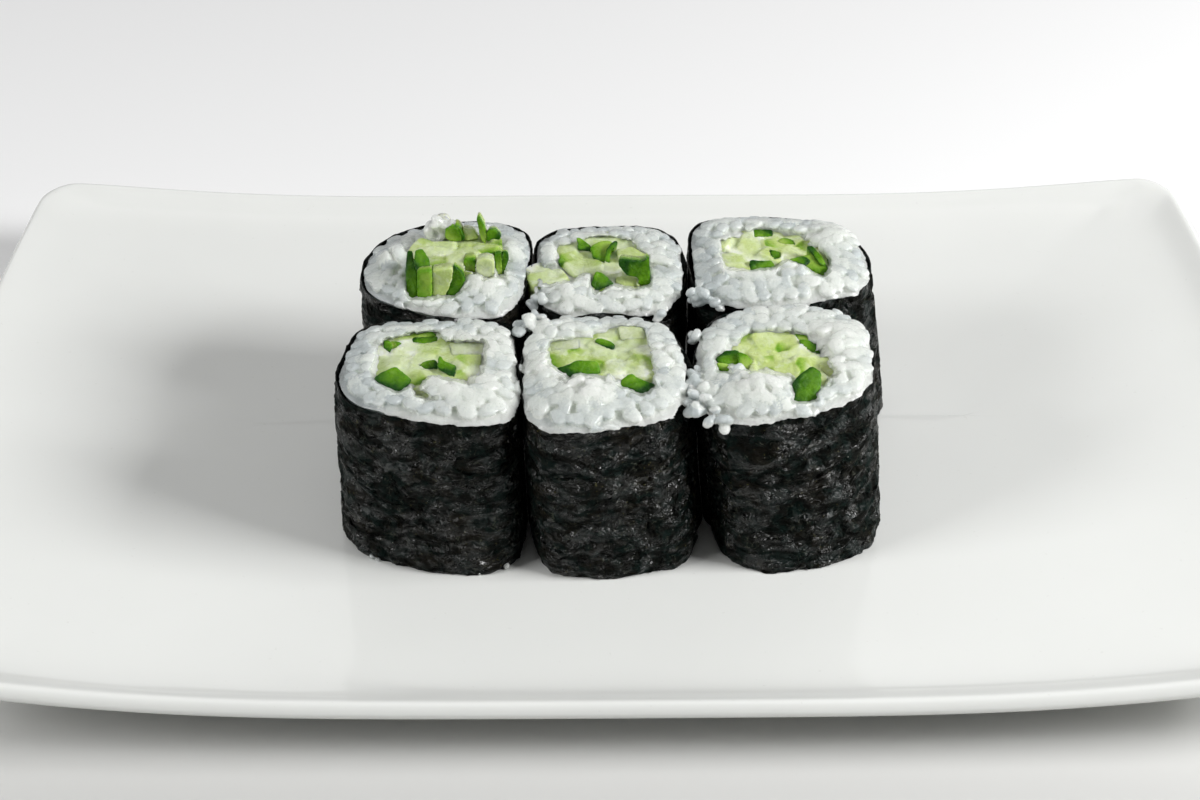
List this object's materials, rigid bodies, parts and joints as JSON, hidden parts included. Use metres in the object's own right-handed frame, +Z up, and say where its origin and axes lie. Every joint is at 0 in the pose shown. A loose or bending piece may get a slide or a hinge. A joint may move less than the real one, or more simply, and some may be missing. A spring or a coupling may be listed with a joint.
{
  "type": "cucumber maki on a porcelain plate",
  "caption": "Bite-size cucumber maki, nori round rice round cucumber sticks, standing in two rows on a rectangular white porcelain plate with raised ends.",
  "frame": {"origin": "middle of the plate's underside, level with the flat face of its foot", "axes": "+X along the plate to the right, +Y towards the back row of rolls, +Z up"},
  "size_m": [0.242, 0.1556, 0.0492],
  "materials": {
    "porcelain": "smooth glossy white glaze with a faint warm grey-green cast",
    "nori": "near-black green pressed seaweed, satin, finely wrinkled with short fibres and small lighter flecks",
    "rice": "cooked short grain rice, translucent white, moist and softly glossy",
    "cucumber": "wet pale yellow-green flesh with dark to bright green skin edges"
  },
  "bodies": {
    "root": {"plate": "porcelain", "nori_front_left": "nori", "nori_front_middle": "nori", "nori_front_right": "nori", "nori_back_left": "nori", "nori_back_middle": "nori", "nori_back_right": "nori", "rice_front_left": "rice", "rice_front_middle": "rice", "rice_front_right": "rice", "rice_back_left": "rice", "rice_back_middle": "rice", "rice_back_right": "rice", "cucumber_front_left": "cucumber", "cucumber_front_middle": "cucumber", "cucumber_front_right": "cucumber", "cucumber_back_left": "cucumber", "cucumber_back_middle": "cucumber", "cucumber_back_right": "cucumber"}
  },
  "joints": []
}
